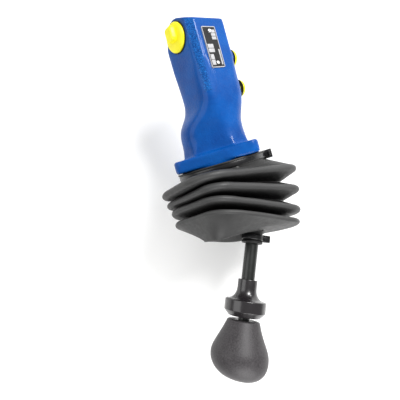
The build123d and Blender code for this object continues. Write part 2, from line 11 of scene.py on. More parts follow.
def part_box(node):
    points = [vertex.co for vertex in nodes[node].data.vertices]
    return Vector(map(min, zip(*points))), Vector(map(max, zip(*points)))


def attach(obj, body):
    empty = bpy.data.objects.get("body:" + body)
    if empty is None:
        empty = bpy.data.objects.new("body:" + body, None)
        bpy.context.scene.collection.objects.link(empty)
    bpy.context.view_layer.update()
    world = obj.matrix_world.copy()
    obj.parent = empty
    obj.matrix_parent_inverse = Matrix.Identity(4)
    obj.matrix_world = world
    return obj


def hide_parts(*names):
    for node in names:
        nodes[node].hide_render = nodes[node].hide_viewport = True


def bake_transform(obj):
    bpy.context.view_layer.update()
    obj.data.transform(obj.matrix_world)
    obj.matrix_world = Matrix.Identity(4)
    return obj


MM = 0.001

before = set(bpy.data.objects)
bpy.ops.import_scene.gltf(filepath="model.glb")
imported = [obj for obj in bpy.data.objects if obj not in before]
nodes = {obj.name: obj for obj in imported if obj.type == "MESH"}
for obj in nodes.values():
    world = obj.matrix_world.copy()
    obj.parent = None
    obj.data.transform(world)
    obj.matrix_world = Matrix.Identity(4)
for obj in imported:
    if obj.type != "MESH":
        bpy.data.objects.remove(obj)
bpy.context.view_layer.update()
scene = bpy.context.scene

# ---------------------------------------------------------------- camera and light
# Metres. Place, directions and lens are rounded from a fit to measured points.
CAMERA_PLACE = Vector((0.169, -0.197, 0.0084))
CAMERA_RIGHT = Vector((-0.767, -0.577, 0.282)).normalized()
CAMERA_FORWARD = Vector((-0.576, 0.812, 0.094)).normalized()
CAMERA_UP = CAMERA_RIGHT.cross(CAMERA_FORWARD).normalized()
SENSOR_WIDTH = 36.0
LENS = 29.5


def facing(place, right, up, back):
    """World matrix whose local axes are right, up and back."""
    matrix = Matrix((right, up, back)).transposed().to_4x4()
    matrix.translation = place
    return matrix


camera_data = bpy.data.cameras.new("camera")
camera_data.sensor_width = SENSOR_WIDTH
camera_data.lens = LENS
camera_data.clip_start = 0.01
camera = bpy.data.objects.new("camera", camera_data)
scene.collection.objects.link(camera)
camera.matrix_world = facing(CAMERA_PLACE, CAMERA_RIGHT, CAMERA_UP, -CAMERA_FORWARD)
scene.camera = camera
scene.view_settings.view_transform = "Standard"


def area_light(name, place, target, size, power):
    """White square light at place, pointed at target; size in metres, power in watts."""
    data = bpy.data.lights.new(name, "AREA")
    data.size = size
    data.energy = power
    lamp = bpy.data.objects.new(name, data)
    scene.collection.objects.link(lamp)
    lamp.location = place
    lamp.rotation_mode = "QUATERNION"
    lamp.rotation_quaternion = (Vector(target) - Vector(place)).to_track_quat("-Z", "Y")


def seen_from(right, up, back):
    """Point given by its distances along the camera's own axes, from the origin."""
    return CAMERA_RIGHT * right + CAMERA_UP * up - CAMERA_FORWARD * back


LIGHTS = (
    # name, place, target, size, power
    ("key", seen_from(0.32, 0.42, 0.52), (0, 0, 0.0), 0.28, 7.0),
    ("fill", seen_from(-0.6, 0.1, 0.45), (0, 0, 0.02), 0.6, 2.2),
    ("spark", (-0.25, -0.40, -0.20), (0.005, -0.02, -0.02), 0.07, 0.35),
    ("low", seen_from(0.1, -0.55, 0.3), (0, 0, 0.12), 0.45, 3.2),
)
for light in LIGHTS:
    area_light(*light)

# The room lights the object less than it shows behind the floor's edge
ROOM_LIGHT = 0.36
ROOM_SEEN = 0.88
world = bpy.data.worlds.new("studio")
world.use_nodes = True
backdrop = world.node_tree.nodes["Background"]
backdrop.inputs["Color"].default_value = (1, 1, 1, 1)
ray = world.node_tree.nodes.new("ShaderNodeLightPath")
strength = world.node_tree.nodes.new("ShaderNodeMapRange")
strength.inputs["To Min"].default_value = ROOM_LIGHT
strength.inputs["To Max"].default_value = ROOM_SEEN
world.node_tree.links.new(ray.outputs["Is Camera Ray"], strength.inputs["Value"])
world.node_tree.links.new(strength.outputs["Result"], backdrop.inputs["Strength"])
scene.world = world


# ---------------------------------------------------------------- materials
class Shader:
    """A procedural material and short calls to add its nodes."""

    def __init__(self, name, **settings):
        self.material = bpy.data.materials.new(name)
        self.material.use_nodes = True
        self.tree = self.material.node_tree
        self.surface = self.tree.nodes["Principled BSDF"]
        for socket, value in settings.items():
            self.surface.inputs[socket.replace("_", " ")].default_value = value
        self.place = self.tree.nodes.new("ShaderNodeTexCoord").outputs["Object"]

    def link(self, source, target):
        self.tree.links.new(source, target)

    def noise(self, size, detail=4.0, rough=0.55, stretch=(1, 1, 1)):
        """Noise whose lumps are about size metres wide."""
        mapping = self.tree.nodes.new("ShaderNodeMapping")
        mapping.inputs["Scale"].default_value = stretch
        self.link(self.place, mapping.inputs["Vector"])
        node = self.tree.nodes.new("ShaderNodeTexNoise")
        node.inputs["Scale"].default_value = 1.0 / size
        node.inputs["Detail"].default_value = detail
        node.inputs["Roughness"].default_value = rough
        self.link(mapping.outputs["Vector"], node.inputs["Vector"])
        return node.outputs["Fac"]

    def axes(self):
        """The object's own X, Y and Z at each point."""
        node = self.tree.nodes.new("ShaderNodeSeparateXYZ")
        self.link(self.place, node.inputs["Vector"])
        return node.outputs

    def math(self, operation, a, b):
        """Result of a two-number operation; each of a and b is a number or a socket."""
        node = self.tree.nodes.new("ShaderNodeMath")
        node.operation = operation
        for socket, value in zip(node.inputs, (a, b)):
            if isinstance(value, (int, float)):
                socket.default_value = value
            else:
                self.link(value, socket)
        return node.outputs[0]

    def ramp(self, source, *stops):
        """Colour ramp; each stop is (position, colour or grey)."""
        node = self.tree.nodes.new("ShaderNodeValToRGB")
        elements = node.color_ramp.elements
        while len(elements) < len(stops):
            elements.new(0.5)
        for element, (position, colour) in zip(elements, stops):
            element.position = position
            rgb = (colour,) * 3 if isinstance(colour, (int, float)) else tuple(colour)
            element.color = (*rgb, 1)
        self.link(source, node.inputs["Fac"])
        return node.outputs["Color"]

    def mix(self, factor, a, b):
        """Colour from a to b; each is a colour or a socket."""
        node = self.tree.nodes.new("ShaderNodeMix")
        node.data_type = "RGBA"
        for socket, value in ((node.inputs[0], factor), (node.inputs[6], a), (node.inputs[7], b)):
            if isinstance(value, (int, float)):
                socket.default_value = value
            elif isinstance(value, tuple):
                socket.default_value = (*value, 1)
            else:
                self.link(value, socket)
        return node.outputs[2]

    def bump(self, height, depth, strength, onto=None):
        """Relief of depth metres, laid over an earlier bump where onto gives one."""
        node = self.tree.nodes.new("ShaderNodeBump")
        node.inputs["Strength"].default_value = strength
        node.inputs["Distance"].default_value = depth
        self.link(height, node.inputs["Height"])
        if onto is not None:
            self.link(onto, node.inputs["Normal"])
        self.link(node.outputs["Normal"], self.surface.inputs["Normal"])
        return node.outputs["Normal"]

    def colour(self, source):
        self.link(source, self.surface.inputs["Base Color"])

    def roughness(self, source):
        self.link(source, self.surface.inputs["Roughness"])


PAINT_DARK = (0.0003, 0.050, 0.245)
PAINT_LIGHT = (0.0005, 0.084, 0.350)
# The chamfer's speckle: dark pits of the casting, and lighter flecks that are painted glints
PIT_DARK = (0.0004, 0.042, 0.20)
PAINTED_GLINT = (0.006, 0.135, 0.46)
CHAMFER_NORMAL = (0.7071, -0.7071, 0.0)
BLOCK_TOP = -0.040


def cast_paint(name):
    """Blue gloss paint over a sand casting, coarser on the chamfer beside the nameplate's face, where it
    has dark pits and lighter flecks of painted glint.
    """
    s = Shader(name, Metallic=0.0, Coat_Weight=0.26, Coat_Roughness=0.1, Specular_IOR_Level=0.1)
    tone = s.ramp(s.noise(0.016, 5), (0.3, PAINT_DARK), (0.7, PAINT_LIGHT))
    facing_chamfer = s.tree.nodes.new("ShaderNodeVectorMath")
    facing_chamfer.operation = "DOT_PRODUCT"
    geometry = s.tree.nodes.new("ShaderNodeNewGeometry")
    s.link(geometry.outputs["Normal"], facing_chamfer.inputs[0])
    facing_chamfer.inputs[1].default_value = CHAMFER_NORMAL
    along_chamfer = s.ramp(facing_chamfer.outputs["Value"], (0.90, 0.0), (0.97, 1.0))
    on_block = s.math("LESS_THAN", s.axes()["Z"], BLOCK_TOP)
    chamfer = s.math("MULTIPLY", along_chamfer, on_block)
    # Chamfer speckle: darker pits of the coarse casting mixed with lighter flecks of painted glint
    pits = s.noise(0.0006, 3, 0.6)
    pits_and_painted_glints = s.mix(s.ramp(pits, (0.45, 0.0), (0.62, 1.0)), PIT_DARK, PAINTED_GLINT)
    s.colour(s.mix(chamfer, tone, pits_and_painted_glints))
    s.roughness(s.ramp(s.noise(0.004, 3), (0.3, 0.36), (0.7, 0.5)))
    grain = s.bump(s.noise(0.0013, 5, 0.6), 0.0004, 0.8)
    dimples = s.bump(s.noise(0.0042, 3), 0.0006, 0.4, onto=grain)
    coarse = s.math("MULTIPLY", s.noise(0.0017, 4, 0.6), chamfer)
    s.bump(coarse, 0.0011, 0.9, onto=dimples)
    return s.material


# The nameplate's print, as shares of its width and height: left, right, bottom, top
PLATE_BLACK = (0.045, 0.955, 0.018, 0.982)
PLATE_FIELDS = (
    (0.58, 0.90, 0.08, 0.32), (0.10, 0.52, 0.43, 0.63),
    (0.10, 0.36, 0.68, 0.94), (0.80, 0.90, 0.56, 0.94),
)
PLATE_RULES = (
    (0.58, 0.90, 0.155, 0.168), (0.58, 0.90, 0.235, 0.248),
    (0.10, 0.52, 0.525, 0.54), (0.10, 0.36, 0.80, 0.813),
)


def plate_print(name, low, high):
    """Black plate with a silver border and blank silver fields, between two corners."""
    s = Shader(name, Metallic=0.35, Specular_IOR_Level=0.35)
    axes = s.axes()
    across = s.math("DIVIDE", s.math("SUBTRACT", high[0], axes["X"]), high[0] - low[0])
    along = s.math("DIVIDE", s.math("SUBTRACT", axes["Z"], low[2]), high[2] - low[2])

    def between(share, start, end):
        return s.math("MULTIPLY", s.math("GREATER_THAN", share, start), s.math("LESS_THAN", share, end))

    def field(left, right, bottom, top):
        return s.math("MULTIPLY", between(across, left, right), between(along, bottom, top))

    bright = s.math("SUBTRACT", 1.0, field(*PLATE_BLACK))
    for box in PLATE_FIELDS:
        bright = s.math("MAXIMUM", bright, field(*box))
    for box in PLATE_RULES:
        bright = s.math("MULTIPLY", bright, s.math("SUBTRACT", 1.0, field(*box)))
    brush_marks = s.noise(0.0006, 3, stretch=(1, 1, 0.08))
    brushed = s.ramp(brush_marks, (0.3, (0.30, 0.30, 0.31)), (0.7, (0.46, 0.46, 0.47)))
    s.colour(s.mix(bright, (0.008, 0.008, 0.009), brushed))
    s.roughness(s.ramp(s.noise(0.002, 3), (0.3, 0.42), (0.7, 0.55)))
    s.bump(bright, 0.00006, 0.5)
    return s.material


def rubber(name, grey, rough, folded=False):
    """Matt rubber; a folded piece has painted light on its ridges and painted shade in its grooves."""
    s = Shader(name, Specular_IOR_Level=0.35)
    tone = s.ramp(s.noise(0.012, 5), (0.3, grey * 0.85), (0.7, grey * 1.2))
    if folded:
        fold = s.tree.nodes.new("ShaderNodeAttribute")
        fold.attribute_name = "fold"
        # Painted light on the ridges and painted shade down in the grooves, both set by the fold attribute
        off_ridge = s.ramp(fold.outputs["Fac"], (0.0, 0.0), (0.16, 1.0))
        in_groove = s.ramp(fold.outputs["Fac"], (0.12, 0.0), (0.75, 1.0))
        painted_ridge_light = s.mix(off_ridge, (grey * 1.9,) * 3, tone)
        s.colour(s.mix(in_groove, painted_ridge_light, (grey * 0.12,) * 3))
    else:
        s.colour(tone)
    s.roughness(s.ramp(s.noise(0.003, 3), (0.3, rough - 0.07), (0.7, rough + 0.08)))
    s.bump(s.noise(0.0006, 3), 0.0001, 0.35)
    return s.material


def plastic(name, colour, rough, grain_size=0.0008, grain_depth=0.00005, strength=0.3, coat=0.0):
    """Moulded plastic with a fine grain, and a clear gloss where coat is more than none."""
    s = Shader(name, Specular_IOR_Level=0.5, Coat_Weight=coat, Coat_Roughness=0.12)
    darker = tuple(c * 0.88 for c in colour)
    s.colour(s.ramp(s.noise(0.009, 4), (0.3, darker), (0.7, colour)))
    s.roughness(s.ramp(s.noise(0.004, 3), (0.3, rough * 0.9), (0.7, rough * 1.12)))
    s.bump(s.noise(grain_size, 3), grain_depth, strength)
    return s.material


def metal(name, colour, rough):
    """Bare metal with fine marks along Z."""
    s = Shader(name, Metallic=1.0)
    s.colour(s.ramp(s.noise(0.006, 4), (0.3, tuple(c * 0.85 for c in colour)), (0.7, colour)))
    s.roughness(s.ramp(s.noise(0.002, 3), (0.3, rough * 0.85), (0.7, rough * 1.2)))
    s.bump(s.noise(0.0005, 2, stretch=(1, 1, 0.15)), 0.00003, 0.3)
    return s.material


paint = cast_paint("blue_paint")
boot_rubber = rubber("boot_rubber", 0.026, 0.5, True)
seal_rubber = rubber("seal_rubber", 0.008, 0.4)
tie_nylon = plastic("tie_nylon", (0.006, 0.006, 0.007), 0.3)
ring_gloss = plastic("ring_gloss", (0.013, 0.011, 0.0125), 0.3, 0.001, 0.00008, 0.4, 0.5)
rod_black = plastic("rod_black", (0.004, 0.006, 0.0045), 0.4, 0.0006, 0.00008, 0.5, 0.2)
yellow = plastic("yellow_plastic", (0.95, 0.86, 0.005), 0.45)
steel = metal("zinc_steel", (0.62, 0.63, 0.64), 0.35)
ground = metal("ground_steel", (0.7, 0.7, 0.72), 0.2)
wire = metal("spring_steel", (0.3, 0.3, 0.32), 0.35)
bronze = metal("bronze", (0.6, 0.4, 0.2), 0.35)


def knob_skin(name):
    """Fine-grained moulded knob."""
    s = Shader(name, Specular_IOR_Level=0.45)
    speckle = s.noise(0.0009, 5, 0.7)
    s.colour(s.ramp(speckle, (0.35, (0.018, 0.0162, 0.0175)), (0.65, (0.062, 0.056, 0.060))))
    s.roughness(s.ramp(speckle, (0.35, 0.42), (0.65, 0.58)))
    s.bump(speckle, 0.00025, 0.6)
    return s.material


knob_grain = knob_skin("knob_grain")

NODE_MATERIALS = {
    "housing": paint,
    "port_plug_side": yellow,
    "port_plug_lower": yellow,
    "port_plug_upper": yellow,
    "lift_sleeve": rod_black,
    "lever_rod": rod_black,
    "lift_ring": ring_gloss,
    "knob": knob_grain,
    "boot": boot_rubber,
    "boot_neck_tie": tie_nylon,
    "boot_collar_tie": tie_nylon,
    "bush_o_rings": seal_rubber,
    "plunger_wipers": seal_rubber,
    "guide_bush_left": bronze,
    "guide_bush_right": bronze,
    "rocker_bushes": bronze,
    "knob_insert": rod_black,
    "nameplate_rivets": steel,
    "retaining_plate": steel,
    "retaining_screws": steel,
    "rocker": steel,
    "lever_lock_nut": steel,
    "ring_washer": steel,
    "port_seals": seal_rubber,
    "nameplate": plate_print("plate_print", *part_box("nameplate")),
}
for name, node in nodes.items():
    node.data.materials.clear()
    spring = "spring_left" in name or "spring_right" in name or name in ("lock_spring", "pin_circlips")
    node.data.materials.append(NODE_MATERIALS.get(name, wire if spring else ground))


# ---------------------------------------------------------------- pieces built here
def mesh_piece(name, vertices, faces, material, body, stands_for=()):
    """Smooth mesh from points in millimetres, with its normals outward, that rides on body."""
    data = bpy.data.meshes.new(name)
    data.from_pydata([Vector(v) * MM for v in vertices], [], faces)
    shape = bmesh.new()
    shape.from_mesh(data)
    bmesh.ops.recalc_face_normals(shape, faces=shape.faces)
    shape.to_mesh(data)
    shape.free()
    data.shade_smooth()
    data.materials.append(material)
    piece = bpy.data.objects.new(name, data)
    scene.collection.objects.link(piece)
    if body is not None:
        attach(piece, body)
    if stands_for:
        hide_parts(*stands_for)
    return piece


def subdivide(piece, levels):
    modifier = piece.modifiers.new("subdivide", "SUBSURF")
    modifier.levels = levels
    modifier.render_levels = levels


def bevel(piece, width, angle, segments=3):
    """Rounded edges, width in millimetres, where faces meet at more than angle degrees."""
    modifier = piece.modifiers.new("bevel", "BEVEL")
    modifier.width = width * MM
    modifier.segments = segments
    modifier.limit_method = "ANGLE"
    modifier.angle_limit = math.radians(angle)


def skin_faces(rings, count, closed=False):
    """Quads that join rings of count points each; closed also joins the last ring to the first."""
    faces = []
    last = rings if closed else rings - 1
    for r in range(last):
        below, above = r * count, ((r + 1) % rings) * count
        for k in range(count):
            n = (k + 1) % count
            faces.append((below + k, below + n, above + n, above + k))
    return faces


# The lever's crank, in millimetres, as the CAD source has it
PIVOT = Vector((0, 0, 20.0))
INNER_LEAN = math.radians(-16.2)
INNER_LENGTH = 51.4
OUTER_LEAN = math.radians(30.0)
BEND = PIVOT + Vector((math.sin(INNER_LEAN), 0, math.cos(INNER_LEAN))) * INNER_LENGTH
ALONG = Vector((math.sin(OUTER_LEAN), 0, math.cos(OUTER_LEAN)))
ACROSS = Vector((math.cos(OUTER_LEAN), 0, -math.sin(OUTER_LEAN)))
SIDEWAYS = Vector((0, 1, 0))


def on_lever(radius, angle, distance):
    """Point at a radius and angle round the lever's outer run, a distance on from the bend."""
    round_point = ACROSS * (radius * math.cos(angle)) + SIDEWAYS * (radius * math.sin(angle))
    return BEND + ALONG * distance + round_point


def lever_ring(radius, distance, count):
    """Ring of points about the lever's outer run."""
    return [on_lever(radius, 2 * math.pi * k / count, distance) for k in range(count)]


def turned_piece(name, profile, count, material, body, stands_for):
    """Closed profile of (radius, distance) pairs turned about the lever's outer run."""
    vertices = []
    for radius, distance in profile:
        vertices += lever_ring(radius, distance, count)
    faces = skin_faces(len(profile), count, closed=True)
    mesh_piece(name, vertices, faces, material, body, stands_for)


def end_caps(count, total):
    """Faces over the first and the last ring of count points, out of total points."""
    return [tuple(range(count)), tuple(range(total - count, total))]


def rounded(points, radius=0.0, steps=5):
    """Closed run of points with its corners rounded; a point is (x, y) or (x, y, its own radius)."""
    result = []
    for i, point in enumerate(points):
        r = point[2] if len(point) > 2 else radius
        here = Vector(point[:2])
        before = Vector(points[i - 1][:2]) - here
        after = Vector(points[(i + 1) % len(points)][:2]) - here
        half_turn = before.angle(after) / 2
        if r <= 0 or half_turn > math.radians(89):
            result.append(tuple(here))
            continue
        reach = min(r / math.tan(half_turn), before.length * 0.49, after.length * 0.49)
        start, end = here + before.normalized() * reach, here + after.normalized() * reach
        for k in range(steps + 1):
            t = k / steps
            result.append(tuple(start * (1 - t) ** 2 + here * 2 * t * (1 - t) + end * t**2))
    return result


# ---------------------------------------------------------------- lock ring and knob
# Radii, and distances on from the bend, in millimetres
RING_NECK = 7.7
RING_BORE = 5.35
RING_COUNT = 96
FLARE_START = 47.0
FLARE_LENGTH = 9.6
FLARE_REACH = 7.6
FLARE_STEPS = 10

flare = []
for k in range(1, FLARE_STEPS + 1):
    turn = k / FLARE_STEPS * math.pi / 2
    radius = RING_NECK + FLARE_REACH * (1 - math.cos(turn)) ** 1.15
    flare.append((radius, FLARE_START + FLARE_LENGTH * math.sin(turn), 0))
ring_profile = rounded(
    [(RING_BORE, 41.0, 0), (RING_NECK, 41.0, 0.5), (RING_NECK, FLARE_START, 0)]
    + flare
    + [(16.2, 57.2, 0.8), (16.2, 65.3, 0.7), (12.5, 69.3, 0.7)]
    + [(7.0, 69.3, 0.3), (7.0, 55.0, 0), (RING_BORE, 55.0, 0)]
)
turned_piece(
    "lock_ring", ring_profile, RING_COUNT, ring_gloss, "lift_ring", ("lift_ring",)
)

KNOB_START = 72.0
KNOB_COUNT = 64
# Radius, and distance on from KNOB_START: the hole's wall, then the outside
KNOB_PROFILE = (
    (4.5, 4.0), (4.5, 0.6), (5.4, 0.0),
    (12.0, 0.0), (12.7, 0.35), (13.1, 1.4), (14.3, 5.0), (16.2, 9.6), (18.4, 14.2),
    (20.6, 18.8), (22.0, 22.6), (22.4, 26.0), (22.1, 30.0), (20.8, 34.0), (18.3, 37.6),
    (14.6, 40.6), (10.0, 42.5), (5.0, 43.4), (0.4, 43.6),
)
# The knob isn't quite round: its belly hangs to +ACROSS, and its end leans back
BELLY_LENGTH = 34.0
BELLY_SHIFT = 0.9
END_START = 24.0
END_LENGTH = 20.0
END_SHIFT = 0.6
END_SLOPE = 0.10

knob_vertices = []
for radius, distance in KNOB_PROFILE:
    belly = math.sin(math.pi * min(distance / BELLY_LENGTH, 1.0))
    end = max(0.0, (distance - END_START) / END_LENGTH)
    shift = ACROSS * (BELLY_SHIFT * belly - END_SHIFT * end**2)
    for k in range(KNOB_COUNT):
        angle = 2 * math.pi * k / KNOB_COUNT
        slope = END_SLOPE * end * radius * math.cos(angle)
        knob_vertices.append(on_lever(radius, angle, KNOB_START + distance - slope) + shift)
knob_faces = skin_faces(len(KNOB_PROFILE), KNOB_COUNT) + end_caps(KNOB_COUNT, len(knob_vertices))
round_knob = mesh_piece(
    "round_knob", knob_vertices, knob_faces, knob_grain, "lever", ("knob",)
)
subdivide(round_knob, 2)

# ---------------------------------------------------------------- plug with a pull tab
CAP_COUNT = 72
CAP_THICKNESS = 2.2
STEM_RADIUS = 5.9
TAB_OUTLINE = ((-4.2, -7.6), (4.2, -7.6), (4.2, 3.0), (-4.2, 3.0))
TAB_CORNER = 2.6
TAB_PROUD = 0.6


def pull_plug(name, node, seals, body):
    """Round cap with a soft rim and a blunt tab, seated on the outermost of the seals."""
    low, high = [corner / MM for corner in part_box(node)]
    radius = (high.y - low.y) / 2
    middle_y, middle_z = (low.y + high.y) / 2, low.z + radius
    front = max(vertex.co.x for vertex in nodes[seals].data.vertices) / MM
    face = front + CAP_THICKNESS
    profile = (
        (0.2, low.x), (STEM_RADIUS - 0.3, low.x), (STEM_RADIUS - 0.1, low.x + 0.4), (STEM_RADIUS, front),
        (radius - 0.3, front), (radius, front + 0.4), (radius, front + 1.2), (radius - 0.4, front + 1.9),
        (radius - 1.2, face), (radius - 3.0, face + 0.25), (0.2, face + 0.35),
    )
    vertices = []
    for r, x in profile:
        for k in range(CAP_COUNT):
            a = 2 * math.pi * k / CAP_COUNT
            vertices.append(Vector((x, middle_y + r * math.cos(a), middle_z + r * math.sin(a))))
    faces = skin_faces(len(profile), CAP_COUNT) + end_caps(CAP_COUNT, len(vertices))
    start = len(vertices)
    reach = high.x + TAB_PROUD
    stations = ((front + 1.2, 1.0), (front + 2.6, 0.98), (reach - 1.0, 0.92), (reach, 0.78))
    outline = rounded(TAB_OUTLINE, TAB_CORNER, 6)
    for x, scale in stations:
        for y, z in outline:
            vertices.append(Vector((x, middle_y + y * scale, middle_z + z * scale)))
    tab_faces = skin_faces(len(stations), len(outline))
    tab_faces += end_caps(len(outline), len(stations) * len(outline))
    faces += [tuple(start + i for i in face) for face in tab_faces]
    plug = mesh_piece(name, vertices, faces, yellow, body, (node,))
    bevel(plug, 0.5, 30)


pull_plug("side_plug", "port_plug_side", "port_seals", "housing")

# ---------------------------------------------------------------- boot
# Millimetres and degrees. Lean turns a fold about Y; droop lowers its -Y side.
# A least-squares fit to measured lips gave these rows. Some values, all tips
# and most of the second row were then changed. No formula stands behind them.
Fold = namedtuple("Fold", "height lean droop half_x half_y corner tip shift")
FOLDS = (
    Fold(27.1, 9.8, 9.6, 54.2, 34.0, 21.0, 2.9, -5.2),
    Fold(39.4, 16.5, 9.9, 47.8, 35.2, 15.0, 2.6, -3.4),
    Fold(51.2, 22.3, 9.8, 48.3, 34.6, 18.7, 2.3, -2.6),
    Fold(60.4, 23.6, 9.4, 45.9, 35.6, 20.2, 1.9, -0.3),
)
FOLD_DEPTH = 13.0
GROOVE_HALF = 0.6
GROOVE_ROUND = 1.4
TIP_TURNS = (-78, -60, -40, -20, 0, 20, 40, 60, 78)
FOOT_RADIUS = 30.9
NECK_RADIUS = 33.2
LIP_RADIUS = 34.9
BOOT_WALL = 1.2
BOOT_COUNT = 112
# The fold attribute sets the boot's painted light and painted shade: 0 on a fold's ridge, 1 down in a
# groove
NECK_SHADE = 0.35
TIP_SHADE = 0.16
CROWN_SHADE = 0.12
COLLAR_SHADE = 0.45


def leaning(lean, droop, point):
    """Axes and centre of a section plane leaned about Y, its -Y side drooped towards the flange."""
    a, b = math.radians(lean), math.radians(droop)
    across = Vector((math.cos(a), 0, -math.sin(a)))
    deep = Vector((0, math.cos(b), math.sin(b)))
    deep = (deep - across * across.dot(deep)).normalized()
    return across, deep, across.cross(deep), Vector(point)


def rounded_rectangle(half_x, half_y, corner, count):
    """Points evenly spaced round a rounded rectangle, from the middle of its +X side."""
    corner = min(corner, half_x - 0.01, half_y - 0.01)
    straight_x, straight_y = half_x - corner, half_y - corner
    centres = (
        (straight_x, straight_y), (-straight_x, straight_y),
        (-straight_x, -straight_y), (straight_x, -straight_y),
    )
    arc = corner * math.pi / 2
    # Half the +X side, then corner, side, corner, side, corner, side, corner, and the other half
    lengths = (straight_y, arc, 2 * straight_x, arc, 2 * straight_y, arc, 2 * straight_x, arc, straight_y)
    total = sum(lengths)
    points = []
    for k in range(count):
        s = total * k / count
        piece = 0
        while s > lengths[piece] and piece < 8:
            s -= lengths[piece]
            piece += 1
        if piece in (0, 8):
            y = s if piece == 0 else s - straight_y
            points.append((half_x, y))
        elif piece == 2:
            points.append((straight_x - s, half_y))
        elif piece == 4:
            points.append((-half_x, straight_y - s))
        elif piece == 6:
            points.append((-straight_x + s, -half_y))
        else:
            quarter = (piece - 1) // 2
            x, y = centres[quarter]
            a = quarter * math.pi / 2 + s / corner
            points.append((x + corner * math.cos(a), y + corner * math.sin(a)))
    return points


def boot_ring(fold, inset, lift):
    """Ring of a fold, inset from its edge and lifted off its plane."""
    across, deep, up, centre = leaning(fold.lean, fold.droop, (fold.shift, 0, fold.height))
    corner = max(fold.corner - inset * 0.45, 4.0)
    outline = rounded_rectangle(fold.half_x - inset, fold.half_y - inset, corner, BOOT_COUNT)
    return [centre + across * x + deep * y + up * lift for x, y in outline]


def circle_ring(radius, z):
    points = []
    for k in range(BOOT_COUNT):
        a = 2 * math.pi * k / BOOT_COUNT
        points.append(Vector((radius * math.cos(a), radius * math.sin(a), z)))
    return points


# Radius and height of the rings round the flange's collar, from the foot's inner edge
NECK_RINGS = (
    (FOOT_RADIUS, 9.4), (LIP_RADIUS - 0.3, 9.4), (LIP_RADIUS, 9.7), (LIP_RADIUS, 10.5),
    (LIP_RADIUS - 0.5, 10.9), (NECK_RADIUS, 11.1), (NECK_RADIUS, 15.6),
)
GROOVE_RINGS = (
    (FOLD_DEPTH - GROOVE_ROUND, -GROOVE_HALF), (FOLD_DEPTH, 0.0), (FOLD_DEPTH - GROOVE_ROUND, GROOVE_HALF),
)
boot_rings = [circle_ring(radius, z) for radius, z in NECK_RINGS]
painted_fold_shade = [NECK_SHADE] * len(NECK_RINGS)
for i, fold in enumerate(FOLDS):
    for degrees in TIP_TURNS:
        turn = math.radians(degrees)
        boot_rings.append(boot_ring(fold, fold.tip - fold.tip * math.cos(turn), fold.tip * math.sin(turn)))
        painted_fold_shade.append(TIP_SHADE * abs(degrees) / TIP_TURNS[-1])
    if i + 1 < len(FOLDS):
        groove = Fold(*[(below + above) / 2 for below, above in zip(fold, FOLDS[i + 1])])
        for inset, lift in GROOVE_RINGS:
            boot_rings.append(boot_ring(groove, inset, lift))
            painted_fold_shade.append(1.0)

# The crown leans with the pulled-over lever: how far round each point of its edge stands, and the point.
# The points were set one by one, close to measured ones.
CROWN = (
    (0.0, (33.0, 0.0, 62.5)), (0.107, (26.0, 11.0, 65.2)),
    (0.25, (-3.0, 14.0, 76.6)), (0.393, (-29.0, 11.0, 81.0)),
    (0.5, (-27.0, -2.0, 74.6)), (0.607, (-9.0, -13.5, 67.0)),
    (0.75, (14.0, -14.5, 63.4)), (0.893, (32.0, -12.0, 61.4)),
)


def closed_curve(knots, count):
    """Smooth closed curve through knots of (share of the way round, point)."""
    points = []
    shares = [share for share, point in knots] + [1.0]
    corners = [Vector(point) for share, point in knots]
    n = len(corners)
    slopes = []
    for i in range(n):
        reach = (shares[(i + 1) % n] - shares[i - 1]) % 1.0
        slopes.append((corners[(i + 1) % n] - corners[i - 1]) / reach)
    for k in range(count):
        share = k / count
        i = max(j for j in range(n) if shares[j] <= share)
        span = shares[i + 1] - shares[i]
        t = (share - shares[i]) / span
        start, end = corners[i], corners[(i + 1) % n]
        out, into = slopes[i] * span, slopes[(i + 1) % n] * span
        point = start * (2 * t**3 - 3 * t**2 + 1) + out * (t**3 - 2 * t**2 + t)
        points.append(point + end * (3 * t**2 - 2 * t**3) + into * (t**3 - t**2))
    return points


# Radius, and distance on from the bend, of the rings of the collar that grips the lever
COLLAR_RADIUS = 7.7
COLLAR_BORE = 5.8
COLLAR_RINGS = (
    (9.0, 0.5), (8.4, 1.2), (8.1, 2.2), (COLLAR_RADIUS, 3.4), (COLLAR_RADIUS, 9.6), (8.3, 10.0),
    (8.5, 10.6), (8.4, 11.5), (7.9, 11.9), (COLLAR_BORE, 11.9), (COLLAR_BORE, 2.0),
)
crown = closed_curve(CROWN, BOOT_COUNT)
crown_middle = BEND + ALONG * 0.5
boot_rings.append([p + (p - crown_middle).normalized() * 0.9 - ALONG * 1.2 for p in crown])
boot_rings.append(crown)
boot_rings.append([p.lerp(crown_middle, 0.05) + ALONG * 0.3 for p in crown])
painted_fold_shade += [CROWN_SHADE] * 3
boot_rings += [lever_ring(radius, distance, BOOT_COUNT) for radius, distance in COLLAR_RINGS]
painted_fold_shade += [COLLAR_SHADE] * len(COLLAR_RINGS)

# Moulded rubber isn't quite even: a slow swell, none at the neck and none at the collar
SWELL = 1.3
SWELL_FROM = (20.0, 12.0)  # height where it starts, and how far on it is whole
SWELL_OUTSIDE = (20.0, 20.0)  # the same for the distance from the Z axis


def share_past(value, start, length):
    return min(1.0, max(0.0, (value - start) / length))


def swell(p):
    """How far a point of the boot wanders, the same on every run."""
    sideways = noise.noise(p * 0.035), noise.noise(p * 0.035 + Vector((9, 4, 2)))
    upward = noise.noise(p * 0.03 + Vector((3, 7, 5)))
    reach = share_past(p.z, *SWELL_FROM) * share_past(Vector((p.x, p.y, 0)).length, *SWELL_OUTSIDE)
    return Vector((*sideways, upward)) * SWELL * reach


